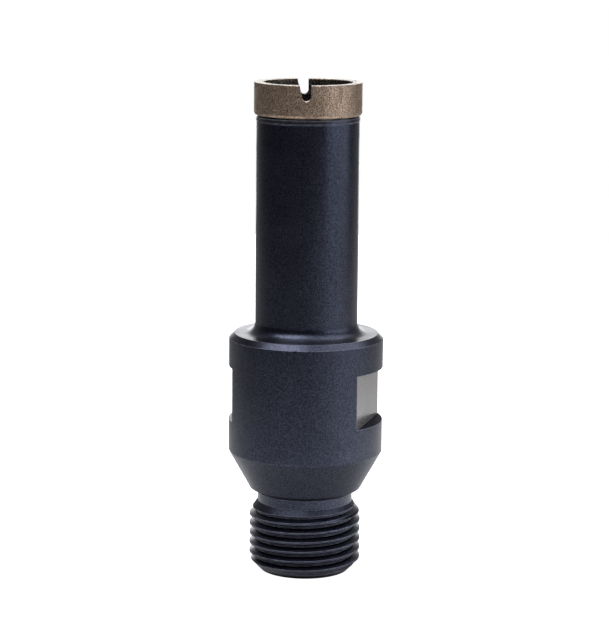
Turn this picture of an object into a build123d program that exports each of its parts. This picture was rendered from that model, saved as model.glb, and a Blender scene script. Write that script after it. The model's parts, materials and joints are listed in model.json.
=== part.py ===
"""Wet diamond core bit with a G1/2 threaded shank, standing on its threaded end.

The origin is on the axis at the threaded end face and +Z points at the cutting rim. The wrench flats face
+X and -X. All sizes are in millimetres and all angles in degrees.
"""

from build123d import *
from math import ceil, cos, radians, sin, tan
import os

# ---------------------------------------------------------------- driving sizes
# G1/2 parallel pipe thread: Whitworth form, right-hand
THREAD_MAJOR_DIAMETER = 20.955
THREADS_PER_INCH = 14
THREAD_ANGLE = 55.0
THREAD_DEPTH_PER_PITCH = 0.640327
THREAD_CREST_PER_PITCH = 1 / 6
THREAD_START_HEIGHT = -2.2  # where the groove begins, level with +X
THREAD_CUTTER_CLEARANCE = 0.12  # how far the cutter stands outside the crest

# Shank: threaded stub, relief neck and cone
THREADED_LENGTH = 11.1
END_FACE_BELOW_MINOR = 0.95  # the end face's edge, inside the thread's root
END_CHAMFER_ANGLE = 45.0
RELIEF_BELOW_MINOR = 0.4  # the relief neck, inside the thread's root
RELIEF_WIDTH = 1.7
RELIEF_RUNOUT_ANGLE = 35.0
HEEL_RISE = 0.9
CONE_HALF_ANGLE = 29.0  # the cone's small end has the thread's major diameter

# Hub and wrench flats
HUB_DIAMETER = 28.9
HUB_LENGTH = 22.4
HUB_TOP_CHAMFER = 1.0
HUB_EDGE_RADIUS = 0.4
FLATS_ACROSS = 24.0
FLATS_LENGTH = 10.1
FLATS_ABOVE_CONE = 6.0

# Diamond crown, which the barrel follows
CROWN_DIAMETER = 20.0
CROWN_HEIGHT = 6.05
CROWN_HEEL_STEP = 0.1  # how far the heel of the crown stands outside the barrel's lip
CROWN_HEEL_HEIGHT = 0.45
CROWN_INNER_CLEARANCE = 0.15  # how far the crown stands inside the barrel's bore

# Barrel
CROWN_OUTER_CLEARANCE = 0.45  # how far the crown stands outside the barrel
BARREL_WALL = 1.2
BARREL_LENGTH = 40.4
BARREL_ROOT_RADIUS = 2.0
LIP_HEIGHT = 0.75
LIP_STEP = 0.08  # how far the lip under the crown stands outside the barrel
LIP_CHAMFER = 0.1
LIP_GROOVE_WIDTH = 0.16
LIP_GROOVE_DEPTH = 0.1

# Braze seam
SEAM_HEIGHT = 0.3
SEAM_RECESS = 0.2  # how deep the seam sits in the gap between barrel and crown

# Waterway: one straight slot across the crown, with one upright and one leaning wall
SLOT_DEPTH = 2.9
SLOT_ROOT_RADIUS = 0.8
SLOT_WALL_LEAN = 12.0
SLOT_CLOCKING = 16.9  # turned from the line of the wrench flats
SLOT_OFFSET = -0.54  # root centre, off the axis

# Core hollow and water bore
CORE_HOLLOW_DEPTH = 50.0  # from the rim
CORE_FLOOR_ANGLE = 118.0
WATER_BORE = 9.0
WATER_BORE_CHAMFER = 0.5

# ---------------------------------------------------------------- derived sizes
MM_PER_INCH = 25.4
thread_pitch = MM_PER_INCH / THREADS_PER_INCH
thread_depth = THREAD_DEPTH_PER_PITCH * thread_pitch
thread_flank = tan(radians(THREAD_ANGLE / 2))
thread_major_radius = THREAD_MAJOR_DIAMETER / 2
thread_minor_radius = thread_major_radius - thread_depth
groove_root_half = THREAD_CREST_PER_PITCH * thread_pitch / 2
groove_reach = thread_depth + THREAD_CUTTER_CLEARANCE
groove_mouth_half = groove_root_half + groove_reach * thread_flank

end_face_radius = thread_minor_radius - END_FACE_BELOW_MINOR
end_chamfer_height = (thread_major_radius - end_face_radius) / tan(radians(END_CHAMFER_ANGLE))
relief_radius = thread_minor_radius - RELIEF_BELOW_MINOR
runout_height = (thread_major_radius - relief_radius) / tan(radians(RELIEF_RUNOUT_ANGLE))
relief_bottom = THREADED_LENGTH + runout_height
relief_top = relief_bottom + RELIEF_WIDTH
groove_turns = ceil((relief_bottom + groove_mouth_half - THREAD_START_HEIGHT) / thread_pitch)
stub_top = THREAD_START_HEIGHT + (groove_turns + 1) * thread_pitch

cone_small_radius = thread_major_radius
hub_radius = HUB_DIAMETER / 2
cone_bottom = relief_top + HEEL_RISE
cone_height = (hub_radius - cone_small_radius) / tan(radians(CONE_HALF_ANGLE))
hub_bottom = cone_bottom + cone_height
hub_top = hub_bottom + HUB_LENGTH
flats_middle = hub_bottom + FLATS_ABOVE_CONE + FLATS_LENGTH / 2

crown_radius = CROWN_DIAMETER / 2
barrel_radius = crown_radius - CROWN_OUTER_CLEARANCE
barrel_bore_radius = barrel_radius - BARREL_WALL
barrel_top = hub_top + BARREL_LENGTH
lip_radius = barrel_radius + LIP_STEP
lip_bottom = barrel_top - LIP_HEIGHT
lip_groove_radius = barrel_radius - LIP_GROOVE_DEPTH
lip_groove_bottom = lip_bottom - LIP_GROOVE_WIDTH

seam_radius = barrel_radius - SEAM_RECESS
crown_bottom = barrel_top + SEAM_HEIGHT
crown_heel_radius = lip_radius + CROWN_HEEL_STEP
crown_bore_radius = barrel_bore_radius - CROWN_INNER_CLEARANCE
rim = crown_bottom + CROWN_HEIGHT

water_bore_radius = WATER_BORE / 2
core_floor = rim - CORE_HOLLOW_DEPTH
core_cone_depth = (barrel_bore_radius - water_bore_radius) / tan(radians(CORE_FLOOR_ANGLE / 2))

slot_lean = radians(SLOT_WALL_LEAN)
slot_root_height = rim - SLOT_DEPTH + SLOT_ROOT_RADIUS
slot_side = SLOT_ROOT_RADIUS * cos(slot_lean)
slot_dip = SLOT_ROOT_RADIUS * sin(slot_lean)
slot_turn = radians(SLOT_CLOCKING)
slot_top = 2 * SLOT_DEPTH
slot_lean_run = (slot_top + slot_dip) * tan(slot_lean)

os.makedirs("parts", exist_ok=True)

# ---------------------------------------------------------------- one turn of the thread groove
groove_start = (thread_minor_radius, 0, THREAD_START_HEIGHT)

with BuildPart() as groove_turn:
    with BuildLine() as lead:
        Helix(
            pitch=thread_pitch,
            height=thread_pitch,
            radius=thread_minor_radius,
            center=(0, 0, THREAD_START_HEIGHT),
        )
    with BuildSketch(Plane(origin=groove_start, x_dir=(1, 0, 0), z_dir=(0, 1, 0))):
        with BuildLine():
            Polyline(
                (0, -groove_root_half),
                (groove_reach, -groove_mouth_half),
                (groove_reach, groove_mouth_half),
                (0, groove_root_half),
                close=True,
            )
        make_face()
    sweep(path=lead.line, is_frenet=True)

# ---------------------------------------------------------------- body, turned from one bar
with BuildPart() as body:
    # threaded stub: its blank first, then the groove, turn by turn, out into the relief neck
    with BuildSketch(Plane.XZ):
        with BuildLine():
            Polyline(
                (0, 0),
                (end_face_radius, 0),
                (thread_major_radius, end_chamfer_height),
                (thread_major_radius, THREADED_LENGTH),
                (relief_radius, relief_bottom),
                (relief_radius, stub_top),
                (0, stub_top),
                close=True,
            )
        make_face()
    revolve(axis=Axis.Z)
    for turn in range(groove_turns):
        with Locations((0, 0, turn * thread_pitch)):
            add(groove_turn.part, mode=Mode.SUBTRACT)

    # heel, cone, hub and barrel
    with BuildSketch(Plane.XZ):
        with BuildLine():
            Polyline(
                (0, relief_top),
                (relief_radius, relief_top),
                (cone_small_radius, cone_bottom),
                (hub_radius, hub_bottom),
                (hub_radius, hub_top - HUB_TOP_CHAMFER),
                (hub_radius - HUB_TOP_CHAMFER, hub_top),
                (barrel_radius + BARREL_ROOT_RADIUS, hub_top),
            )
            RadiusArc(
                (barrel_radius + BARREL_ROOT_RADIUS, hub_top),
                (barrel_radius, hub_top + BARREL_ROOT_RADIUS),
                BARREL_ROOT_RADIUS,
            )
            Polyline(
                (barrel_radius, hub_top + BARREL_ROOT_RADIUS),
                (barrel_radius, lip_groove_bottom),
                (lip_groove_radius, lip_groove_bottom),
                (lip_groove_radius, lip_bottom),
                (lip_radius, lip_bottom),
                (lip_radius, barrel_top - LIP_CHAMFER),
                (lip_radius - LIP_CHAMFER, barrel_top),
                (0, barrel_top),
                (0, relief_top),
            )
        make_face()
    revolve(axis=Axis.Z)
    turned_corners = body.edges().filter_by(GeomType.CIRCLE)
    fillet(turned_corners.filter_by_position(Axis.Z, cone_bottom, cone_bottom), HUB_EDGE_RADIUS)
    fillet(turned_corners.filter_by_position(Axis.Z, hub_bottom, hub_bottom), HUB_EDGE_RADIUS)

    # two wrench flats, milled square into the hub
    with Locations((FLATS_ACROSS / 2, 0, flats_middle)):
        Box(
            hub_radius,
            HUB_DIAMETER,
            FLATS_LENGTH,
            align=(Align.MIN, Align.CENTER, Align.CENTER),
            mode=Mode.SUBTRACT,
        )
    with Locations((-FLATS_ACROSS / 2, 0, flats_middle)):
        Box(
            hub_radius,
            HUB_DIAMETER,
            FLATS_LENGTH,
            align=(Align.MAX, Align.CENTER, Align.CENTER),
            mode=Mode.SUBTRACT,
        )

    # core hollow from the barrel's mouth, drill-point floor and water bore out of the end face
    with BuildSketch(Plane.XZ):
        with BuildLine():
            Polyline(
                (0, 0),
                (water_bore_radius + WATER_BORE_CHAMFER, 0),
                (water_bore_radius, WATER_BORE_CHAMFER),
                (water_bore_radius, core_floor - core_cone_depth),
                (barrel_bore_radius, core_floor),
                (barrel_bore_radius, barrel_top),
                (0, barrel_top),
                close=True,
            )
        make_face()
    revolve(axis=Axis.Z, mode=Mode.SUBTRACT)

# ---------------------------------------------------------------- braze seam
with BuildPart() as braze_seam:
    with BuildSketch(Plane.XY.offset(barrel_top)):
        Circle(seam_radius)
        Circle(barrel_bore_radius, mode=Mode.SUBTRACT)
    extrude(amount=SEAM_HEIGHT)

# ---------------------------------------------------------------- diamond crown
with BuildPart() as diamond_crown:
    with BuildSketch(Plane.XZ):
        with BuildLine():
            Polyline(
                (crown_bore_radius, crown_bottom),
                (crown_heel_radius, crown_bottom),
                (crown_radius, crown_bottom + CROWN_HEEL_HEIGHT),
                (crown_radius, rim),
                (crown_bore_radius, rim),
                close=True,
            )
        make_face()
    revolve(axis=Axis.Z)

    # the slot's section stands upright, square to the way that the slot runs
    slot_plane = Plane(
        origin=(SLOT_OFFSET * cos(slot_turn), SLOT_OFFSET * sin(slot_turn), slot_root_height),
        x_dir=(cos(slot_turn), sin(slot_turn), 0),
        z_dir=(sin(slot_turn), -cos(slot_turn), 0),
    )
    with BuildSketch(slot_plane):
        Circle(SLOT_ROOT_RADIUS)
        with BuildLine():
            Polyline(
                (0, 0),
                (SLOT_ROOT_RADIUS, 0),
                (SLOT_ROOT_RADIUS, slot_top),
                (-slot_side - slot_lean_run, slot_top),
                (-slot_side, -slot_dip),
                close=True,
            )
        make_face()
    extrude(amount=CROWN_DIAMETER, both=True, mode=Mode.SUBTRACT)

# ---------------------------------------------------------------- labels and files
pieces = {"body": body, "braze_seam": braze_seam, "diamond_crown": diamond_crown}
for name, piece in pieces.items():
    piece.part.label = name
    export_step(piece.part, f"parts/{name}.step")
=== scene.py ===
"""Studio dress of a wet diamond core bit that stands on its threaded shank.

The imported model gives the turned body, the braze seam and the crown ring. This script gives each of them its
finish, builds the crown's gritty sintered surface with its diamond grains, and sets the floor, the lights and
the camera. All lengths are in metres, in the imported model's frame: +Z runs up the axis from the threaded end,
and the wrench flats face +X and -X. An azimuth is in degrees, 0 at -Y and growing towards +X.
"""

import json
import logging
import math
import random
from dataclasses import dataclass, field
from enum import Enum
from itertools import product

import bpy
import numpy as np
from mathutils import Euler, Matrix, Vector


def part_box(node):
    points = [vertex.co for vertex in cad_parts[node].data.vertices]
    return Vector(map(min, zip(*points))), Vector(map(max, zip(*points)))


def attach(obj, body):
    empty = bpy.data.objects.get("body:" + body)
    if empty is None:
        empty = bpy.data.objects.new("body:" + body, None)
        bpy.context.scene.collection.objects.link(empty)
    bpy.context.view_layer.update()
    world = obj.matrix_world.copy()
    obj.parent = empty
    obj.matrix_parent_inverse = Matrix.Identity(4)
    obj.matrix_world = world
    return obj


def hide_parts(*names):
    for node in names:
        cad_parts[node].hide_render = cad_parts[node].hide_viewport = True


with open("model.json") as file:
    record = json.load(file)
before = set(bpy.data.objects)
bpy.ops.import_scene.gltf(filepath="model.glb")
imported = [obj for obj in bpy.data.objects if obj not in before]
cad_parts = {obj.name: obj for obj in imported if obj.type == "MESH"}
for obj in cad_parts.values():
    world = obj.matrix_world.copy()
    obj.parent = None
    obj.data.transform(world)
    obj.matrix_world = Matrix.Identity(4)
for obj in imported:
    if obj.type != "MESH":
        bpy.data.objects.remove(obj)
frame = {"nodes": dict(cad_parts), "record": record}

LOG = logging.getLogger("core_bit")
MM = 0.001
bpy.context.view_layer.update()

GRAIN_DETAIL = 2.0       # finer noises laid over the first one, in the grain and in the slow drift
DRIFT_DETAIL = 3.0

Colour = tuple[float, float, float]
Span = tuple[float, float]


class Node(Enum):
    """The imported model's nodes."""

    BODY = "body"
    SEAM = "braze_seam"
    CROWN = "diamond_crown"


class Slot(Enum):
    """The record's material slots."""

    COATED_STEEL = "coated_steel"
    BRAZE = "braze_alloy"
    MATRIX = "diamond_matrix"


def mount(name: str) -> dict:
    """The record's mount of that name."""
    return next(entry for entry in frame["record"]["mounts"] if entry["name"] == name)


def heading(azimuth: float, elevation: float = 0.0) -> Vector:
    """The direction outwards from the axis at an azimuth and an elevation, both in degrees."""
    around, up = math.radians(azimuth), math.radians(elevation)
    return Vector((math.sin(around) * math.cos(up), -math.cos(around) * math.cos(up), math.sin(up)))


# Places on the bit that the finishes go by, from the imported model
THREAD_LENGTH = mount("g12_thread")["dims"]["length_mm"] * MM
FLAT_REACH, _, FLATS_MIDDLE = mount("wrench_flat_right")["pos_m"]
HUB_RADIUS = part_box(Node.BODY.value)[1].x
SEAM_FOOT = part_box(Node.SEAM.value)[0].z


# ------------------------------------------------------------------ node-tree helper


class Sheet:
    """A node tree under construction, with one short call for each kind of node."""

    def __init__(self, tree: bpy.types.NodeTree) -> None:
        """Starts from an empty tree.

        Args:
            tree: The material's, world's or group's node tree.
        """
        self.tree = tree
        tree.nodes.clear()

    def add(self, kind: str, inputs: dict | None = None, **settings: object) -> bpy.types.Node:
        """Adds a node and fills its sockets.

        Args:
            kind: The node's type name, without its ShaderNode prefix.
            inputs: Socket name or index, to a value or to the output socket that feeds it.
            settings: Properties of the node itself.

        Returns:
            The new node.
        """
        node = self.tree.nodes.new("ShaderNode" + kind)
        for name, value in settings.items():
            setattr(node, name, value)
        for name, value in (inputs or {}).items():
            self.feed(node.inputs[name], value)
        return node

    def feed(self, socket: bpy.types.NodeSocket, value: object) -> None:
        """Links a socket to an output, or sets its own value.

        Args:
            socket: The input socket.
            value: An output socket, a number or a tuple.
        """
        if isinstance(value, bpy.types.NodeSocket):
            self.tree.links.new(value, socket)
        else:
            socket.default_value = value

    def math(self, operation: str, a: object, b: object = 0.0, clamp: bool = False) -> bpy.types.NodeSocket:
        """One step of arithmetic.

        Args:
            operation: The Math node's operation.
            a: First operand, a socket or a number.
            b: Second operand, a socket or a number.
            clamp: Whether the result is held between 0 and 1.

        Returns:
            The result's socket.
        """
        return self.add("Math", {0: a, 1: b}, operation=operation, use_clamp=clamp).outputs[0]

    def times(self, first: object, *others: object) -> bpy.types.NodeSocket:
        """A product, which also says where several masks hold at once.

        Args:
            first: First factor, a socket or a number.
            others: The other factors.

        Returns:
            The product's socket.
        """
        for factor in others:
            first = self.math("MULTIPLY", first, factor)
        return first

    def within(self, value: object, low: float, high: float) -> bpy.types.NodeSocket:
        """A mask of where a value lies strictly between two limits.

        Args:
            value: What is measured.
            low: Lower limit.
            high: Upper limit.

        Returns:
            The mask's socket, 0 or 1.
        """
        return self.times(self.math("GREATER_THAN", value, low), self.math("LESS_THAN", value, high))

    def ramp(self, value: object, low: float, high: float, to_low: float = 0.0,
             to_high: float = 1.0) -> bpy.types.NodeSocket:
        """A smooth step between two values.

        Args:
            value: What is measured.
            low: Where the step starts.
            high: Where the step ends.
            to_low: The result on the starting side.
            to_high: The result on the far side.

        Returns:
            The result's socket.
        """
        inputs = {"Value": value, "From Min": low, "From Max": high, "To Min": to_low, "To Max": to_high}
        return self.add("MapRange", inputs, interpolation_type="SMOOTHSTEP").outputs["Result"]

    def mix(self, factor: object, a: object, b: object) -> bpy.types.NodeSocket:
        """A blend of two colours.

        Args:
            factor: 0 for the first colour, 1 for the second.
            a: First colour.
            b: Second colour.

        Returns:
            The blended colour's socket.
        """
        node = self.add("Mix", data_type="RGBA")
        for socket, value in zip((node.inputs[0], node.inputs[6], node.inputs[7]), (factor, a, b)):
            self.feed(socket, value)
        return node.outputs[2]

    def blend(self, factor: object, a: object, b: object) -> bpy.types.NodeSocket:
        """A blend of two numbers.

        Args:
            factor: 0 for the first number, 1 for the second.
            a: First number.
            b: Second number.

        Returns:
            The blended number's socket.
        """
        node = self.add("Mix", data_type="FLOAT")
        for socket, value in zip((node.inputs[0], node.inputs[2], node.inputs[3]), (factor, a, b)):
            self.feed(socket, value)
        return node.outputs[0]

    def noise(self, vector: object, scale: object, detail: float) -> bpy.types.NodeSocket:
        """Cloudy noise.

        Args:
            vector: Where it is read.
            scale: Cells in a metre.
            detail: How many finer noises are laid over the first one.

        Returns:
            The noise's value socket, around 0.5.
        """
        return self.add("TexNoise", {"Vector": vector, "Scale": scale, "Detail": detail}).outputs["Fac"]

    def split(self, vector: object) -> tuple[bpy.types.NodeSocket, ...]:
        """The X, Y and Z sockets of a vector."""
        return tuple(self.add("SeparateXYZ", {0: vector}).outputs)

    def along(self, vector: object, direction: object) -> bpy.types.NodeSocket:
        """How far a vector runs along a direction of length 1."""
        inputs = {0: vector, 1: direction}
        return self.add("VectorMath", inputs, operation="DOT_PRODUCT").outputs["Value"]


def rgba(colour: Colour) -> tuple[float, float, float, float]:
    """The colour with full alpha."""
    return (*colour, 1.0)


# ------------------------------------------------------------------ shared shader effects


@dataclass
class Effects:
    """Node groups that the finishes place, each with its own values. Each group is built once.

    Attributes:
        corner_turn: Cosines of the normal's turn, from where a corner begins to where it counts in full.
        corner_rays: How many rays look for a corner.
        patch_cells: Noise cells in a metre that break up what the corners show.
        patch_span: Noise values between which a patch fades in.
        line_roughness: Strength of the finer tool lines.
        edges: The group that finds corners and eases the normal round them.
        speckle: The group of fine grain and slow drift.
        turning: The group of tool lines.
    """

    corner_turn: Span = (0.998, 0.955)
    corner_rays: int = 6
    patch_cells: float = 900.0
    patch_span: Span = (0.35, 0.65)
    line_roughness: float = 0.7
    edges: bpy.types.NodeTree = field(init=False)
    speckle: bpy.types.NodeTree = field(init=False)
    turning: bpy.types.NodeTree = field(init=False)

    def __post_init__(self) -> None:
        """Builds every group."""
        self.edges = self._edges()
        self.speckle = self._speckle()
        self.turning = self._turning()

    @staticmethod
    def _start(name: str, inputs: dict[str, tuple[str, object]],
               outputs: dict[str, str]) -> tuple[Sheet, bpy.types.Node, bpy.types.Node]:
        """Starts a group.

        Args:
            name: The group's name.
            inputs: Socket name to its type and default, which may be None.
            outputs: Socket name to its type.

        Returns:
            The sheet, the group's input node and its output node.
        """
        tree = bpy.data.node_groups.new(name, "ShaderNodeTree")
        for label, (kind, default) in inputs.items():
            socket = tree.interface.new_socket(label, in_out="INPUT", socket_type="NodeSocket" + kind)
            if default is not None:
                socket.default_value = default
        for label, kind in outputs.items():
            tree.interface.new_socket(label, in_out="OUTPUT", socket_type="NodeSocket" + kind)
        sheet = Sheet(tree)
        return sheet, tree.nodes.new("NodeGroupInput"), tree.nodes.new("NodeGroupOutput")

    def _edges(self) -> bpy.types.NodeTree:
        """Where a surface turns a corner, broken up by noise, and the normal eased round that corner.

        Returns:
            The group.
        """
        inputs = {"Vector": ("Vector", None), "Radius": ("Float", 0.1 * MM), "Patchiness": ("Float", 0.5)}
        sheet, given, result = self._start("Corner ease", inputs, {"Mask": "Float", "Normal": "Vector"})
        rounding = sheet.add("Bevel", {"Radius": given.outputs["Radius"]}, samples=self.corner_rays)
        eased = rounding.outputs["Normal"]
        plain = sheet.add("NewGeometry").outputs["Normal"]
        corner = sheet.ramp(sheet.along(eased, plain), *self.corner_turn)
        clouds = sheet.noise(given.outputs["Vector"], self.patch_cells, DRIFT_DETAIL)
        patches = sheet.ramp(clouds, *self.patch_span)
        kept = sheet.math("SUBTRACT", 1.0, sheet.times(patches, given.outputs["Patchiness"]))
        sheet.feed(result.inputs["Mask"], sheet.math("MULTIPLY", corner, kept, clamp=True))
        sheet.feed(result.inputs["Normal"], eased)
        return sheet.tree

    def _speckle(self) -> bpy.types.NodeTree:
        """Fine grain, with a slow drift over it.

        Returns:
            The group.
        """
        inputs = {"Vector": ("Vector", None), "Scale": ("Float", 5000.0), "Drift": ("Float", 150.0)}
        sheet, given, result = self._start("Coat speckle", inputs, {"Grain": "Float", "Cloud": "Float"})
        place = given.outputs["Vector"]
        sheet.feed(result.inputs["Grain"], sheet.noise(place, given.outputs["Scale"], GRAIN_DETAIL))
        sheet.feed(result.inputs["Cloud"], sheet.noise(place, given.outputs["Drift"], DRIFT_DETAIL))
        return sheet.tree

    def _turning(self) -> bpy.types.NodeTree:
        """Fine lines across one axis, as a lathe or an end mill leaves them.

        Returns:
            The group.
        """
        inputs = {"Along": ("Float", 0.0), "Lines": ("Float", 8000.0)}
        sheet, given, result = self._start("Tool lines", inputs, {"Height": "Float"})
        along = sheet.times(given.outputs["Along"], given.outputs["Lines"])
        lines = {"W": along, "Scale": 1.0, "Detail": DRIFT_DETAIL, "Roughness": self.line_roughness}
        noise = sheet.add("TexNoise", lines, noise_dimensions="1D")
        sheet.feed(result.inputs["Height"], noise.outputs["Fac"])
        return sheet.tree

    @staticmethod
    def place(sheet: Sheet, group: bpy.types.NodeTree, inputs: dict) -> bpy.types.Node:
        """Places a group in a material.

        Args:
            sheet: The material's sheet.
            group: One of this object's groups.
            inputs: Its values.

        Returns:
            The group's node.
        """
        node = sheet.tree.nodes.new("ShaderNodeGroup")
        node.node_tree = group
        for name, value in inputs.items():
            sheet.feed(node.inputs[name], value)
        return node


# ------------------------------------------------------------------ finishes


@dataclass(frozen=True)
class Finish:
    """What every finish has: a name and a new material with an empty sheet."""

    name: str

    def start(self) -> tuple[bpy.types.Material, Sheet, bpy.types.NodeSocket]:
        """Starts the finish.

        Returns:
            The new node material, its sheet, and the socket that says where on the object a point lies.
        """
        material = bpy.data.materials.new(self.name)
        material.use_nodes = True
        sheet = Sheet(material.node_tree)
        return material, sheet, sheet.add("TexCoord").outputs["Object"]

    @staticmethod
    def close(sheet: Sheet, inputs: dict) -> None:
        """Ends the sheet in one Principled shader.

        Args:
            sheet: The material's sheet.
            inputs: The shader's sockets.
        """
        shader = sheet.add("BsdfPrincipled", inputs)
        sheet.add("OutputMaterial", {"Surface": shader.outputs[0]})


@dataclass(frozen=True)
class CoatedSteel(Finish):
    """Blue-black satin coat over turned steel, thinner at the corners and on the milled flats, with a painted
    highlight along its corners.

    The coat's own colour is nearly black. What it shows is its gloss, which is tinted blue and broken up by
    fine grain, so the gleam fields set most of its look.

    Attributes:
        coat: Colour of the coat in its dark grain.
        coat_light: Colour in its light grain.
        coat_span: Grain values between which the two change over.
        corner: Thinned coat at the corners, and a painted highlight along them.
        corner_radius: How far from a corner the coat is thinned and the painted highlight reaches.
        corner_patchiness: How much of the thinned coat and the painted highlight comes in patches.
        flat: Milled flats.
        flat_metal: How metallic they are.
        flat_smoother: How much less rough they are.
        scorched: Lip under the crown, browned by the brazing heat.
        scorch_strength: How much the lip takes of that colour.
        scorch: Heights between which it sets in.
        sheen: Tint of the coat's gloss.
        flat_sheen: Tint of the flats' gloss.
        ior: Index of refraction of the coat.
        roughness: Least and greatest roughness, as the slow drift has it.
        drift_span: Drift values between which they change over.
        gleam: Least and greatest gloss, as the grain has it.
        gleam_span: Grain values between which they change over.
        grain_cells: Grain cells in a metre.
        drift_cells: Drift cells in a metre.
        lathe_lines: Turning lines in a metre of height.
        mill_lines: Milling lines in a metre of width.
        line_height: Height of the tool lines, as a share of the grain's.
        relief_strength: How strongly the relief bends the normal.
        relief_height: Height of the relief.
        valley_reach: How far the thread's grooves look around for their walls.
        valley_open: Openness from where the painted shade takes a groove's gloss in full to where it leaves it
            whole.
        groove_shade_gloss: Share of the gloss that the painted shade leaves in a closed groove.
        thread_end: Height of the thread's upper end.
        thread_fade: Height below it over which the painted shade in the grooves fades out.
        runout: Heights, from the thread's end, over which its run-out gets rough.
        runout_close: Height above the thread's end at which that has faded.
        runout_rougher: How much rougher the run-out is.
        flat_side: How far out the flats reach, with a little room.
        flats: Heights of the flats' ends, with a little room.
        facing: Cosine from which a surface counts as facing an axis.
        ledge_shade_share: Share of its gloss that the ledge under the right flat loses to painted shade.
        ledge_rougher: How much rougher that ledge is.
        nick_azimuth: Azimuth of a small nick under the hub's upper chamfer.
        nick_height: Its height.
        nick_span: Distances from its middle between which the gloss comes back.
    """

    coat: Colour = (0.0012, 0.0010, 0.0020)
    coat_light: Colour = (0.0050, 0.0046, 0.0094)
    coat_span: Span = (0.38, 0.68)
    # lighter corners: thinned coat, and partly a painted highlight along crests and edges
    corner: Colour = (0.230, 0.235, 0.280)
    corner_radius: float = 0.14 * MM
    corner_patchiness: float = 0.5
    flat: Colour = (0.215, 0.196, 0.184)
    flat_metal: float = 0.35
    flat_smoother: float = 0.10
    scorched: Colour = (0.030, 0.024, 0.022)
    scorch_strength: float = 0.7
    scorch: Span = (SEAM_FOOT - 0.75 * MM, SEAM_FOOT - 0.05 * MM)
    sheen: Colour = (0.64, 0.70, 1.0)
    flat_sheen: Colour = (1.0, 1.0, 1.0)
    ior: float = 1.62
    roughness: Span = (0.26, 0.37)
    drift_span: Span = (0.3, 0.7)
    gleam: Span = (0.32, 0.70)
    gleam_span: Span = (0.36, 0.64)
    grain_cells: float = 4200.0
    drift_cells: float = 120.0
    lathe_lines: float = 9000.0
    mill_lines: float = 5000.0
    line_height: float = 0.35
    relief_strength: float = 0.42
    relief_height: float = 0.03 * MM
    valley_reach: float = 0.9 * MM
    valley_open: Span = (0.42, 0.90)
    # painted shade in the thread's grooves
    groove_shade_gloss: float = 0.04
    thread_end: float = THREAD_LENGTH + 2.2 * MM
    thread_fade: float = 0.4 * MM
    runout: Span = (-1.4 * MM, -0.8 * MM)
    runout_close: float = 0.1 * MM
    runout_rougher: float = 0.16
    flat_side: float = FLAT_REACH + 0.1 * MM
    flats: Span = (FLATS_MIDDLE - 5.15 * MM, FLATS_MIDDLE + 5.15 * MM)
    facing: float = 0.98
    # painted shade on the ledge under the right flat
    ledge_shade_share: float = 0.6
    ledge_rougher: float = 0.45
    nick_azimuth: float = 7.115
    nick_height: float = 44.4 * MM
    nick_span: Span = (0.12 * MM, 0.30 * MM)

    def build(self, effects: Effects) -> bpy.types.Material:
        """Makes the material.

        Args:
            effects: The shared node groups.

        Returns:
            The material.
        """
        material, sheet, place = self.start()
        x, y, z = sheet.split(place)
        facing_x, _, upward = sheet.split(sheet.add("NewGeometry").outputs["True Normal"])
        flat = sheet.times(sheet.math("GREATER_THAN", sheet.math("ABSOLUTE", facing_x), self.facing),
                           sheet.math("LESS_THAN", sheet.math("ABSOLUTE", x), self.flat_side),
                           sheet.within(z, *self.flats))
        # the ledge under the right flat only; it takes painted shade and more roughness
        ledge = sheet.times(sheet.math("GREATER_THAN", upward, self.facing),
                            sheet.math("LESS_THAN", z, self.flats[1]), sheet.math("GREATER_THAN", x, 0.0))
        speckle = effects.place(sheet, effects.speckle, {"Vector": place, "Scale": self.grain_cells,
                                                         "Drift": self.drift_cells})
        grain, drift = speckle.outputs["Grain"], speckle.outputs["Cloud"]
        corners = effects.place(sheet, effects.edges, {"Vector": place, "Radius": self.corner_radius,
                                                       "Patchiness": self.corner_patchiness})

        colour = sheet.mix(sheet.ramp(grain, *self.coat_span), rgba(self.coat), rgba(self.coat_light))
        scorch = sheet.times(sheet.ramp(z, *self.scorch), self.scorch_strength)
        colour = sheet.mix(scorch, colour, rgba(self.scorched))
        colour = sheet.mix(flat, colour, rgba(self.flat))
        # lighter corners: thinned coat, and a painted highlight along crests and edges
        colour = sheet.mix(corners.outputs["Mask"], colour, rgba(self.corner))

        turned = effects.place(sheet, effects.turning, {"Along": z, "Lines": self.lathe_lines})
        milled = effects.place(sheet, effects.turning, {"Along": y, "Lines": self.mill_lines})
        lines = sheet.blend(flat, turned.outputs["Height"], milled.outputs["Height"])
        height = sheet.math("ADD", grain, sheet.times(lines, self.line_height))
        relief = sheet.add("Bump", {"Strength": self.relief_strength, "Distance": self.relief_height,
                                    "Height": height, "Normal": corners.outputs["Normal"]})

        self.close(sheet, {"Base Color": colour, "Metallic": sheet.times(flat, self.flat_metal),
                           "Roughness": self._roughness(sheet, z, drift, flat, ledge), "IOR": self.ior,
                           "Specular IOR Level": self._gloss(sheet, place, z, ledge),
                           "Specular Tint": sheet.mix(flat, rgba(self.sheen), rgba(self.flat_sheen)),
                           "Normal": relief.outputs["Normal"]})
        return material

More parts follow.
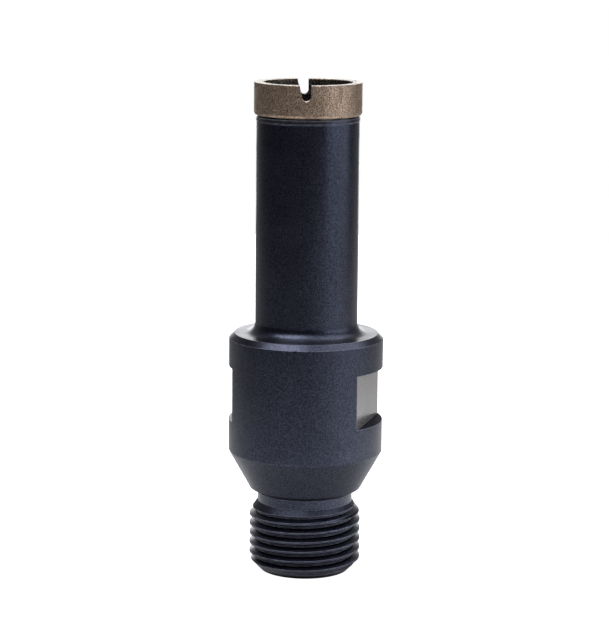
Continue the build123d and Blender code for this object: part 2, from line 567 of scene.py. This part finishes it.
    def _gloss(self, sheet: Sheet, place: bpy.types.NodeSocket, z: bpy.types.NodeSocket,
               ledge: bpy.types.NodeSocket) -> bpy.types.NodeSocket:
        """How strongly the coat mirrors: grainy, with painted shade in the thread's grooves and on the ledge
        under the right flat, and dull in the nick.

        The noise is the speckle group's grain once more, made here because no group feeds this socket.

        Args:
            sheet: The material's sheet.
            place: Where on the object the point lies.
            z: Its height.
            ledge: Mask of the ledge.

        Returns:
            The gloss's socket.
        """
        grain = sheet.noise(place, self.grain_cells, GRAIN_DETAIL)
        grainy = sheet.ramp(grain, *self.gleam_span, *self.gleam)
        # painted shade: the gloss falls away where the thread's groove walls close round
        openness = sheet.add("AmbientOcclusion", {"Distance": self.valley_reach}).outputs["AO"]
        groove_shade = sheet.ramp(openness, *self.valley_open, self.groove_shade_gloss)
        above_thread = sheet.ramp(z, self.thread_end - self.thread_fade, self.thread_end)
        groove_shade = sheet.math("MAXIMUM", groove_shade, above_thread)
        # painted shade on the ledge under the right flat
        ledge_shade = sheet.math("SUBTRACT", 1.0, sheet.times(ledge, self.ledge_shade_share))
        nick = heading(self.nick_azimuth) * HUB_RADIUS
        nick.z = self.nick_height
        to_nick = sheet.add("VectorMath", {0: place, 1: nick}, operation="DISTANCE").outputs["Value"]
        return sheet.times(grainy, groove_shade, ledge_shade, sheet.ramp(to_nick, *self.nick_span))

    def _roughness(self, sheet: Sheet, z: bpy.types.NodeSocket, drift: bpy.types.NodeSocket,
                   flat: bpy.types.NodeSocket, ledge: bpy.types.NodeSocket) -> bpy.types.NodeSocket:
        """How rough the coat is: a slow drift, less on the flats and more on the ledge and the run-out.

        Args:
            sheet: The material's sheet.
            z: The point's height.
            drift: The slow drift.
            flat: Mask of the flats.
            ledge: Mask of the ledge.

        Returns:
            The roughness's socket.
        """
        start, full = (self.thread_end + step for step in self.runout)
        runout = sheet.times(sheet.ramp(z, start, full),
                             sheet.ramp(z, self.thread_end + self.runout_close, self.thread_end))
        rough = sheet.ramp(drift, *self.drift_span, *self.roughness)
        rough = sheet.math("SUBTRACT", rough, sheet.times(flat, self.flat_smoother))
        rough = sheet.math("ADD", rough, sheet.times(ledge, self.ledge_rougher))
        return sheet.math("ADD", rough, sheet.times(runout, self.runout_rougher))


@dataclass(frozen=True)
class BrazeAlloy(Finish):
    """Dull, heat-darkened braze metal in the gap under the crown.

    Attributes:
        metal: Bare braze metal.
        dark: Burnt flux on it.
        dark_span: Drift values between which the flux gives way to metal.
        grain_cells: Grain cells in a metre.
        drift_cells: Drift cells in a metre.
        metallic: How metallic it is.
        roughness: Its roughness.
        relief_strength: How strongly the relief bends the normal.
        relief_height: Height of the relief.
    """

    metal: Colour = (0.16, 0.14, 0.12)
    dark: Colour = (0.03, 0.028, 0.03)
    dark_span: Span = (0.4, 0.65)
    grain_cells: float = 2500.0
    drift_cells: float = 400.0
    metallic: float = 0.8
    roughness: float = 0.5
    relief_strength: float = 0.5
    relief_height: float = 0.05 * MM

    def build(self, effects: Effects) -> bpy.types.Material:
        """Makes the material.

        Args:
            effects: The shared node groups.

        Returns:
            The material.
        """
        material, sheet, place = self.start()
        speckle = effects.place(sheet, effects.speckle, {"Vector": place, "Scale": self.grain_cells,
                                                         "Drift": self.drift_cells})
        bare = sheet.ramp(speckle.outputs["Cloud"], *self.dark_span)
        relief = sheet.add("Bump", {"Strength": self.relief_strength, "Distance": self.relief_height,
                                    "Height": speckle.outputs["Grain"]})
        self.close(sheet, {"Base Color": sheet.mix(bare, rgba(self.dark), rgba(self.metal)),
                           "Metallic": self.metallic, "Roughness": self.roughness,
                           "Normal": relief.outputs["Normal"]})
        return material


@dataclass(frozen=True)
class SinteredMatrix(Finish):
    """Bronze-brown sintered metal with a ground, grainy skin, pale on the rim, with painted shade on the wall
    inside the ring.

    Attributes:
        bronze: The metal between its grains.
        pale: Ground grains.
        pale_span: Grain values between which bronze turns pale.
        pit: Pits between grains.
        pit_span: Grain values between which a pit sets in.
        stain_span: Drift values between which the skin gets stained.
        stain_strength: How much a stain takes of the pits' colour.
        inside: Painted shade on the wall inside the ring.
        inside_fleck: Grains that show in that painted shade.
        fleck_span: Grain values between which they show.
        inside_reach: How far the skin looks around for the wall across the ring.
        inside_open: Openness from where the skin has no painted shade to where it is all painted shade.
        rim: Freshly ground rim.
        rim_turn: Upward parts of the normal between which the skin counts as rim.
        rim_span: Grain values between which the rim is ground clean.
        rim_open: Openness between which it is ground clean.
        grain_cells: Grain cells in a metre.
        drift_cells: Drift cells in a metre.
        metallic: How metallic it is.
        roughness: Least and greatest roughness, as the slow drift has it.
        drift_span: Drift values between which they change over.
        relief_strength: How strongly the relief bends the normal.
        relief_height: Height of the relief.
    """

    bronze: Colour = (0.215, 0.142, 0.098)
    pale: Colour = (0.480, 0.365, 0.275)
    pale_span: Span = (0.42, 0.62)
    pit: Colour = (0.055, 0.038, 0.028)
    pit_span: Span = (0.40, 0.28)
    stain_span: Span = (0.45, 0.7)
    stain_strength: float = 0.35
    inside: Colour = (0.012, 0.010, 0.010)
    inside_fleck: Colour = (0.190, 0.165, 0.140)
    fleck_span: Span = (0.52, 0.66)
    inside_reach: float = 25.0 * MM
    inside_open: Span = (0.72, 0.50)
    rim: Colour = (0.68, 0.62, 0.55)
    rim_turn: Span = (0.55, 0.85)
    rim_span: Span = (0.34, 0.50)
    rim_open: Span = (0.50, 0.70)
    grain_cells: float = 4900.0
    drift_cells: float = 420.0
    metallic: float = 0.78
    roughness: Span = (0.36, 0.52)
    drift_span: Span = (0.3, 0.7)
    relief_strength: float = 0.65
    relief_height: float = 0.06 * MM

    def build(self, effects: Effects) -> bpy.types.Material:
        """Makes the material.

        Args:
            effects: The shared node groups.

        Returns:
            The material.
        """
        material, sheet, place = self.start()
        speckle = effects.place(sheet, effects.speckle, {"Vector": place, "Scale": self.grain_cells,
                                                         "Drift": self.drift_cells})
        grain, drift = speckle.outputs["Grain"], speckle.outputs["Cloud"]
        openness = sheet.add("AmbientOcclusion", {"Distance": self.inside_reach}).outputs["AO"]
        upward = sheet.split(sheet.add("NewGeometry").outputs["Normal"])[2]

        colour = sheet.mix(sheet.ramp(grain, *self.pale_span), rgba(self.bronze), rgba(self.pale))
        colour = sheet.mix(sheet.ramp(grain, *self.pit_span), colour, rgba(self.pit))
        stain = sheet.times(sheet.ramp(drift, *self.stain_span), self.stain_strength)
        colour = sheet.mix(stain, colour, rgba(self.pit))
        # painted shade on the wall inside the ring, where the wall across it closes round
        inside_shade = sheet.mix(sheet.ramp(grain, *self.fleck_span), rgba(self.inside), rgba(self.inside_fleck))
        colour = sheet.mix(sheet.ramp(openness, *self.inside_open), colour, inside_shade)
        ground = sheet.times(sheet.ramp(upward, *self.rim_turn), sheet.ramp(grain, *self.rim_span),
                             sheet.ramp(openness, *self.rim_open))
        colour = sheet.mix(ground, colour, rgba(self.rim))

        relief = sheet.add("Bump", {"Strength": self.relief_strength, "Distance": self.relief_height,
                                    "Height": grain})
        self.close(sheet, {"Base Color": colour, "Metallic": self.metallic,
                           "Roughness": sheet.ramp(drift, *self.drift_span, *self.roughness),
                           "Normal": relief.outputs["Normal"]})
        return material


@dataclass(frozen=True)
class DiamondGrain(Finish):
    """Cloudy yellow-grey diamond grit.

    Attributes:
        clear: Clear grains.
        smoky: Smoky grains.
        clear_span: Drift values between which smoky turns clear.
        roughness: Least and greatest roughness, as the grain has it.
        grain_span: Grain values between which they change over.
        grain_cells: Grain cells in a metre.
        drift_cells: Drift cells in a metre.
        ior: Index of refraction.
    """

    clear: Colour = (0.52, 0.47, 0.36)
    smoky: Colour = (0.10, 0.085, 0.065)
    clear_span: Span = (0.40, 0.62)
    roughness: Span = (0.08, 0.25)
    grain_span: Span = (0.3, 0.7)
    grain_cells: float = 3000.0
    drift_cells: float = 1200.0
    ior: float = 2.4

    def build(self, effects: Effects) -> bpy.types.Material:
        """Makes the material.

        Args:
            effects: The shared node groups.

        Returns:
            The material.
        """
        material, sheet, place = self.start()
        speckle = effects.place(sheet, effects.speckle, {"Vector": place, "Scale": self.grain_cells,
                                                         "Drift": self.drift_cells})
        clear = sheet.ramp(speckle.outputs["Cloud"], *self.clear_span)
        rough = sheet.ramp(speckle.outputs["Grain"], *self.grain_span, *self.roughness)
        self.close(sheet, {"Base Color": sheet.mix(clear, rgba(self.smoky), rgba(self.clear)),
                           "Roughness": rough, "IOR": self.ior})
        return material


@dataclass(frozen=True)
class StudioPaper(Finish):
    """White paper on a light table. It looks evenly white, and lights the bit unevenly, as its lamps stand.

    Front, back, right and left are as seen from the front azimuth. The light that the bit gets is a glow that
    falls off with the distance, times its shares behind, at the right and at the left, plus a ring at the
    back.

    Attributes:
        light: Colour of its glow.
        tone: The paper as it looks.
        shaded_far_tone: The paper that the bit sees far off, darkened there as painted shade.
        tone_span: Distances from the axis between which the tone falls off to that painted shade.
        foot_shadow_tone: How much of the far tone the paper has at the bit's foot, as a painted shadow round
            it.
        glow: The glow that shows.
        near: The glow near the bit.
        far: The glow far off.
        glow_span: Distances from the axis between which it falls from near to far.
        foot: Share of the glow at the bit's foot.
        foot_span: Distances from the axis between which it rises to its full strength.
        behind: Share that is left at the back.
        behind_span: Distances towards the front over which it rises to its full strength.
        right: What the glow is multiplied by at the right.
        right_span: Distances to the right over which it rises to that.
        left: Share that is left at the left.
        left_span: Distances to the right over which it rises to its full strength.
        back_ring: Glow of the ring.
        ring_span: Distances from the axis over which the ring comes in.
        ring_back: Distances towards the front between which it comes in.
        roughness: Roughness of the paper.
        gloss: Its gloss.
        front_azimuth: Azimuth of the table's front.
    """

    light: Colour = (1.0, 1.0, 1.0)
    tone: Colour = (0.80, 0.80, 0.80)
    shaded_far_tone: Colour = (0.12, 0.12, 0.12)
    tone_span: Span = (55.0 * MM, 200.0 * MM)
    foot_shadow_tone: float = 0.8
    glow: float = 1.0
    near: float = 0.34
    far: float = 0.10
    glow_span: Span = (55.0 * MM, 430.0 * MM)
    foot: float = 0.90
    foot_span: Span = (10.0 * MM, 55.0 * MM)
    behind: float = 0.34
    behind_span: Span = (-80.0 * MM, 60.0 * MM)
    right: float = 3.4
    right_span: Span = (10.0 * MM, 110.0 * MM)
    left: float = 0.60
    left_span: Span = (-140.0 * MM, -15.0 * MM)
    back_ring: float = 0.16
    ring_span: Span = (150.0 * MM, 260.0 * MM)
    ring_back: Span = (40.0 * MM, -100.0 * MM)
    roughness: float = 0.9
    gloss: float = 0.1
    front_azimuth: float = 0.0

    def build(self) -> bpy.types.Material:
        """Makes the material.

        Returns:
            The material.
        """
        material, sheet, place = self.start()
        away = sheet.add("VectorMath", {0: place}, operation="LENGTH").outputs["Value"]
        forward = sheet.along(place, heading(self.front_azimuth))
        rightward = sheet.along(place, heading(self.front_azimuth + 90.0))
        given = sheet.times(sheet.ramp(away, *self.glow_span, self.near, self.far),
                            sheet.ramp(away, *self.foot_span, self.foot),
                            sheet.ramp(forward, *self.behind_span, self.behind),
                            sheet.ramp(rightward, *self.right_span, 1.0, self.right),
                            sheet.ramp(rightward, *self.left_span, self.left))
        ring = sheet.times(sheet.ramp(away, *self.ring_span),
                           sheet.ramp(forward, *self.ring_back, 0.0, self.back_ring))
        given = sheet.math("ADD", given, ring)
        seen = sheet.add("LightPath").outputs["Is Camera Ray"]
        shown = sheet.times(seen, sheet.math("SUBTRACT", self.glow, given))

        # what the bit sees: the paper darkened far off as painted shade, and at the foot as a painted shadow
        tone = sheet.mix(sheet.ramp(away, *self.tone_span), rgba(self.tone), rgba(self.shaded_far_tone))
        foot = sheet.ramp(away, *self.foot_span, self.foot_shadow_tone, 0.0)
        tone = sheet.mix(foot, tone, rgba(self.shaded_far_tone))
        self.close(sheet, {"Base Color": sheet.mix(seen, tone, rgba(self.tone)), "Roughness": self.roughness,
                           "Specular IOR Level": self.gloss, "Emission Color": rgba(self.light),
                           "Emission Strength": sheet.math("ADD", given, shown)})
        return material


# ------------------------------------------------------------------ the bit's pieces


def dress(node: Node, material: bpy.types.Material) -> None:
    """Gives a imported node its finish.

    Args:
        node: Which node.
        material: Its material.
    """
    mesh = frame["nodes"][node.value].data
    mesh.materials.clear()
    mesh.materials.append(material)
    LOG.info("dressed %s in %s", node.value, material.name)


def new_piece(name: str, mesh: bpy.types.Mesh, material: bpy.types.Material) -> bpy.types.Object:
    """Makes an object that rides on the bit's one body.

    Args:
        name: The piece's name.
        mesh: Its mesh.
        material: Its finish.

    Returns:
        The object.
    """
    piece = bpy.data.objects.new(name, mesh)
    bpy.context.scene.collection.objects.link(piece)
    mesh.materials.clear()
    mesh.materials.append(material)
    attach(piece, "root")
    LOG.info("built %s with %d faces", name, len(mesh.polygons))
    return piece


@dataclass
class Crown:
    """The sintered cutting ring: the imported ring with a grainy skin, and the diamond grains that stand in it.

    Attributes:
        voxel: Size of the ring's fine mesh.
        skin_depth: How deep the skin's deepest hollows are.
        hollow_sizes: Widths of its large and small hollows.
        hollow_share: Part of the depth that each of them takes.
        hollow_waves: How many waves are added up for each of them.
        hollow_spread: How fast the waves run, for a hollow's width.
        hollow_gain: What brings the waves' sum to full depth.
        rim_room: How far the skin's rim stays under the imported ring's.
        rim_crush: Share of its height above that line that a higher point keeps.
        grain_count: How many diamond grains are scattered.
        grain_small: Half width of the smallest grain.
        grain_large: Half width of the largest grain.
        grain_standing: Share of its width by which a grain stands out at the most.
        grain_room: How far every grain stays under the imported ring's rim.
        grain_cut: Least and greatest share of a tip that is cut off.
        seed: Seed of all random draws.
        surface: The fine ring's mesh, once it is built.
    """

    voxel: float = 0.115 * MM
    skin_depth: float = 0.035 * MM
    hollow_sizes: Span = (0.9 * MM, 0.35 * MM)
    hollow_share: float = 0.5
    hollow_waves: int = 24
    hollow_spread: float = 2.0
    hollow_gain: float = 3.0
    rim_room: float = 0.07 * MM
    rim_crush: float = 0.2
    grain_count: int = 1500
    grain_small: float = 0.13 * MM
    grain_large: float = 0.21 * MM
    grain_standing: float = 0.25
    grain_room: float = 0.005 * MM
    grain_cut: Span = (0.25, 0.45)
    seed: int = 7
    surface: bpy.types.Mesh | None = field(default=None, init=False)

    def build_ring(self, material: bpy.types.Material) -> bpy.types.Object:
        """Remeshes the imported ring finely, roughens it and lets it stand for the ring.

        Args:
            material: The matrix finish.

        Returns:
            The ring.
        """
        source = frame["nodes"][Node.CROWN.value]
        work = bpy.data.objects.new("crown_work", source.data.copy())
        bpy.context.scene.collection.objects.link(work)
        remesh = work.modifiers.new("fine", "REMESH")
        remesh.mode = "VOXEL"
        remesh.voxel_size = self.voxel
        graph = bpy.context.evaluated_depsgraph_get()
        mesh = bpy.data.meshes.new_from_object(work.evaluated_get(graph))
        mesh.name = "crown_ring"
        bpy.data.objects.remove(work)
        self._roughen(mesh)
        mesh.polygons.foreach_set("use_smooth", [True] * len(mesh.polygons))
        self.surface = mesh
        ring = new_piece("crown_ring", mesh, material)
        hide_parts(Node.CROWN.value)
        return ring

    def _roughen(self, mesh: bpy.types.Mesh) -> None:
        """Moves each vertex in by a little noise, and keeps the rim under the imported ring's top.

        Args:
            mesh: The fine ring.
        """
        count = len(mesh.vertices)
        points = np.empty(count * 3)
        mesh.vertices.foreach_get("co", points)
        points = points.reshape(-1, 3)
        normals = np.array([vertex.normal[:] for vertex in mesh.vertices])
        rng = np.random.default_rng(self.seed)
        depth = np.zeros(count)
        for size in self.hollow_sizes:
            waves = rng.normal(size=(self.hollow_waves, 3)) / size * self.hollow_spread
            phase = rng.uniform(0, 2 * math.pi, self.hollow_waves)
            depth += self.hollow_share * np.sin(points @ waves.T + phase).mean(axis=1) * self.hollow_gain
        points -= normals * (self.skin_depth * (0.5 + 0.5 * np.clip(depth, -1, 1)))[:, None]
        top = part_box(Node.CROWN.value)[1][2] - self.rim_room
        points[:, 2] = np.where(points[:, 2] > top, top + (points[:, 2] - top) * self.rim_crush, points[:, 2])
        mesh.vertices.foreach_set("co", points.ravel())
        mesh.update()

    def build_grains(self, material: bpy.types.Material) -> bpy.types.Object:
        """Scatters faceted grains over the ring, each sunk in it for most of its size.

        Args:
            material: The grain finish.

        Returns:
            The grains, as one piece.
        """
        rng = random.Random(self.seed)
        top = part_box(Node.CROWN.value)[1][2] - self.grain_room
        polygons = self.surface.polygons
        areas = np.cumsum([polygon.area for polygon in polygons])
        corners: list[Vector] = []
        faces: list[tuple[int, ...]] = []
        for _ in range(self.grain_count):
            polygon = polygons[int(np.searchsorted(areas, rng.random() * areas[-1]))]
            size = rng.uniform(self.grain_small, self.grain_large)
            sunk = polygon.center - polygon.normal * size * (1.0 - 2.0 * self.grain_standing * rng.random())
            turn = Euler([rng.uniform(0, 2 * math.pi) for _ in range(3)]).to_matrix()
            shape, sides = self._grain(rng, size)
            shape = [sunk + turn @ corner for corner in shape]
            if max(corner.z for corner in shape) > top:
                continue
            start = len(corners)
            corners += shape
            faces += [tuple(start + index for index in side) for side in sides]
        mesh = bpy.data.meshes.new("diamond_grit")
        mesh.from_pydata(corners, [], faces)
        mesh.update()
        return new_piece("diamond_grit", mesh, material)

    def _grain(self, rng: random.Random, size: float) -> tuple[list[Vector], list[tuple[int, ...]]]:
        """One blocky crystal: an octahedron with its tips cut off unevenly.

        Args:
            rng: The random draws.
            size: Its half width.

        Returns:
            Its corners and its faces.
        """
        tips = ((1, 0, 0), (-1, 0, 0), (0, 1, 0), (0, -1, 0), (0, 0, 1), (0, 0, -1))
        axes = [Vector(tip) for tip in tips]
        corners: list[Vector] = []
        ring: dict[tuple[int, int], int] = {}
        for i, axis in enumerate(axes):
            cut = rng.uniform(*self.grain_cut)
            for j, other in enumerate(axes):
                if abs(axis.dot(other)) < 0.5:      # a neighbour, neither itself nor its opposite
                    ring[i, j] = len(corners)
                    corners.append((axis * (1 - cut) + other * cut) * size)

        # each tip's small square face goes round its four neighbours
        around = {0: (2, 4, 3, 5), 1: (2, 5, 3, 4), 2: (0, 5, 1, 4), 3: (0, 4, 1, 5), 4: (0, 2, 1, 3),
                  5: (0, 3, 1, 2)}
        faces = [tuple(ring[i, j] for j in others) for i, others in around.items()]
        # each side between three tips is a hexagon, turned so that it faces out
        for sx, sy, sz in product((0, 1), (2, 3), (4, 5)):
            loop = (ring[sx, sy], ring[sy, sx], ring[sy, sz], ring[sz, sy], ring[sz, sx], ring[sx, sz])
            odd = (sx + sy + sz) % 2
            faces.append(tuple(reversed(loop)) if odd else loop)
        return corners, faces


# ------------------------------------------------------------------ studio


class LightShape(Enum):
    """The outline of a softbox."""

    RECTANGLE = "RECTANGLE"
    OVAL = "ELLIPSE"


@dataclass(frozen=True)
class Softbox:
    """One soft area light.

    Attributes:
        name: The light's name.
        azimuth: The side it stands on, in degrees.
        elevation: How high it hangs, in degrees.
        distance: How far from the bit it is.
        size: Its width and height.
        power: Its power in watts.
        colour: Its colour.
        shape: Its outline.
    """

    name: str
    azimuth: float
    elevation: float
    distance: float
    size: tuple[float, float]
    power: float
    colour: Colour
    shape: LightShape = LightShape.RECTANGLE

    def build(self, target: Vector) -> bpy.types.Object:
        """Hangs the light so that it looks at the bit.

        Args:
            target: What it looks at.

        Returns:
            The light.
        """
        lamp = bpy.data.lights.new(self.name, "AREA")
        lamp.shape = self.shape.value
        lamp.size, lamp.size_y = self.size
        lamp.energy = self.power
        lamp.color = self.colour
        away = heading(self.azimuth, self.elevation)
        light = bpy.data.objects.new(self.name, lamp)
        light.location = target + away * self.distance
        light.rotation_euler = away.to_track_quat("Z", "Y").to_euler()
        bpy.context.scene.collection.objects.link(light)
        LOG.info("hung %s", self.name)
        return light


@dataclass
class Studio:
    """Pale floor, white surround, soft lights and the camera.

    Attributes:
        image_width: Width of the picture in pixels.
        image_height: Its height in pixels.
        sensor: Width of the camera's sensor in millimetres.
        focal_pixels: Focal length in pixels of the picture.
        near_clip: How near to the camera things may come.
        camera_azimuth: The side that the camera stands on, in degrees.
        camera_distance: How far from the axis it stands.
        camera_height: How high it stands.
        camera_pitch: How far it looks down, in degrees.
        camera_yaw: How far it looks to the left of the axis, in degrees.
        camera_roll: How far it is rolled, in degrees.
        floor_radius: Radius of the sheet of paper.
        floor_sides: How many straight sides make its round edge.
        backdrop: Strength of the bright wall behind the bit.
        backdrop_span: Cosines from its middle between which it comes in.
        spill: Strength of the wide light around it.
        spill_span: Cosines between which that comes in.
        front: Strength of the rest of the surround.
        ceiling: Strength of the ceiling.
        ceiling_span: Upward parts of a direction between which it comes in.
        white: Colour of the surround.
        front_azimuth: Azimuth of the studio's front, which the surround and the paper go by.
        target: What the softboxes look at.
        softboxes: The lights.
    """

    image_width: int = 609
    image_height: int = 643
    sensor: float = 36.0
    focal_pixels: float = 2289.7
    near_clip: float = 10.0 * MM
    camera_azimuth: float = 15.4
    camera_distance: float = 421.65 * MM
    camera_height: float = 123.85 * MM
    camera_pitch: float = 10.27
    camera_yaw: float = 0.045
    camera_roll: float = 0.5
    floor_radius: float = 450.0 * MM
    floor_sides: int = 96
    backdrop: float = 3.4
    backdrop_span: Span = (0.93, 0.99)
    spill: float = 0.24
    spill_span: Span = (0.35, 0.85)
    front: float = 0.01
    ceiling: float = 0.25
    ceiling_span: Span = (0.75, 0.95)
    white: Colour = (1.0, 1.0, 1.0)
    front_azimuth: float = 15.4
    target: Vector = field(default_factory=lambda: Vector((0.0, 0.0, 45.0 * MM)))
    softboxes: tuple[Softbox, ...] = (
        Softbox("right_softbox", azimuth=88.0, elevation=10.0, distance=0.9, size=(1.05, 0.45), power=3.2,
                colour=(0.86, 0.91, 1.0)),
        Softbox("top_softbox", azimuth=-28.0, elevation=62.0, distance=0.9, size=(1.0, 0.6), power=8.6,
                colour=(0.95, 0.97, 1.0), shape=LightShape.OVAL),
        Softbox("fill_softbox", azimuth=108.0, elevation=58.0, distance=0.9, size=(1.1, 0.7), power=4.8,
                colour=(0.92, 0.95, 1.0), shape=LightShape.OVAL),
    )

    def build_camera(self) -> bpy.types.Object:
        """Sets the camera at its fitted place.

        Returns:
            The camera.
        """
        lens = bpy.data.cameras.new("camera")
        lens.sensor_width = self.sensor
        lens.lens = self.focal_pixels / max(self.image_width, self.image_height) * self.sensor
        lens.clip_start = self.near_clip
        camera = bpy.data.objects.new("camera", lens)
        camera.location = heading(self.camera_azimuth) * self.camera_distance
        camera.location.z = self.camera_height
        turn = Matrix.Rotation(math.radians(self.camera_azimuth + self.camera_yaw), 3, "Z")
        tilt = Matrix.Rotation(math.radians(90.0 - self.camera_pitch), 3, "X")
        roll = Matrix.Rotation(math.radians(self.camera_roll), 3, "Z")
        camera.rotation_euler = (turn @ tilt @ roll).to_euler()
        bpy.context.scene.collection.objects.link(camera)
        bpy.context.scene.camera = camera
        return camera

    def build_floor(self) -> bpy.types.Object:
        """Lays the round sheet of paper.

        Returns:
            The floor.
        """
        step = 360.0 / self.floor_sides
        edge = [heading(step * side) * self.floor_radius for side in range(self.floor_sides)]
        mesh = bpy.data.meshes.new("studio_floor")
        mesh.from_pydata(edge, [], [tuple(range(self.floor_sides))])
        mesh.materials.append(StudioPaper("studio_paper", front_azimuth=self.front_azimuth).build())
        floor = bpy.data.objects.new("studio_floor", mesh)
        bpy.context.scene.collection.objects.link(floor)
        return floor

    def build_world(self) -> None:
        """A white surround: bright behind the bit, dim in front of it, plain white where it is looked at."""
        world = bpy.data.worlds.new("studio")
        bpy.context.scene.world = world
        world.use_nodes = True
        sheet = Sheet(world.node_tree)
        direction = sheet.add("TexCoord").outputs["Generated"]
        behind = sheet.along(direction, -heading(self.front_azimuth))
        up = sheet.split(direction)[2]
        wall = sheet.ramp(behind, *self.backdrop_span, 0.0, self.backdrop)
        wall = sheet.math("ADD", wall, sheet.ramp(behind, *self.spill_span, self.front, self.spill))
        strength = sheet.math("ADD", wall, sheet.ramp(up, *self.ceiling_span, 0.0, self.ceiling))
        surround = sheet.add("Background", {"Color": rgba(self.white), "Strength": strength})
        plain = sheet.add("Background", {"Color": rgba(self.white), "Strength": 1.0})
        seen = sheet.add("LightPath").outputs["Is Camera Ray"]
        mixed = sheet.add("MixShader", {0: seen, 1: surround.outputs[0], 2: plain.outputs[0]})
        sheet.add("OutputWorld", {"Surface": mixed.outputs[0]})

    def build(self) -> None:
        """Sets up the whole studio."""
        self.build_camera()
        self.build_floor()
        self.build_world()
        for softbox in self.softboxes:
            softbox.build(self.target)
        bpy.context.scene.view_settings.view_transform = "Standard"
        LOG.info("set the camera, the floor and the surround")


# ------------------------------------------------------------------ main


def main() -> None:
    """Dresses the bit piece by piece, then sets the studio."""
    logging.basicConfig(level=logging.INFO, format="%(name)s: %(message)s")
    effects = Effects()
    dress(Node.BODY, CoatedSteel(Slot.COATED_STEEL.value).build(effects))
    dress(Node.SEAM, BrazeAlloy(Slot.BRAZE.value).build(effects))
    crown = Crown()
    crown.build_ring(SinteredMatrix(Slot.MATRIX.value).build(effects))
    crown.build_grains(DiamondGrain("diamond_grain").build(effects))
    Studio().build()


if __name__ == "__main__":
    main()
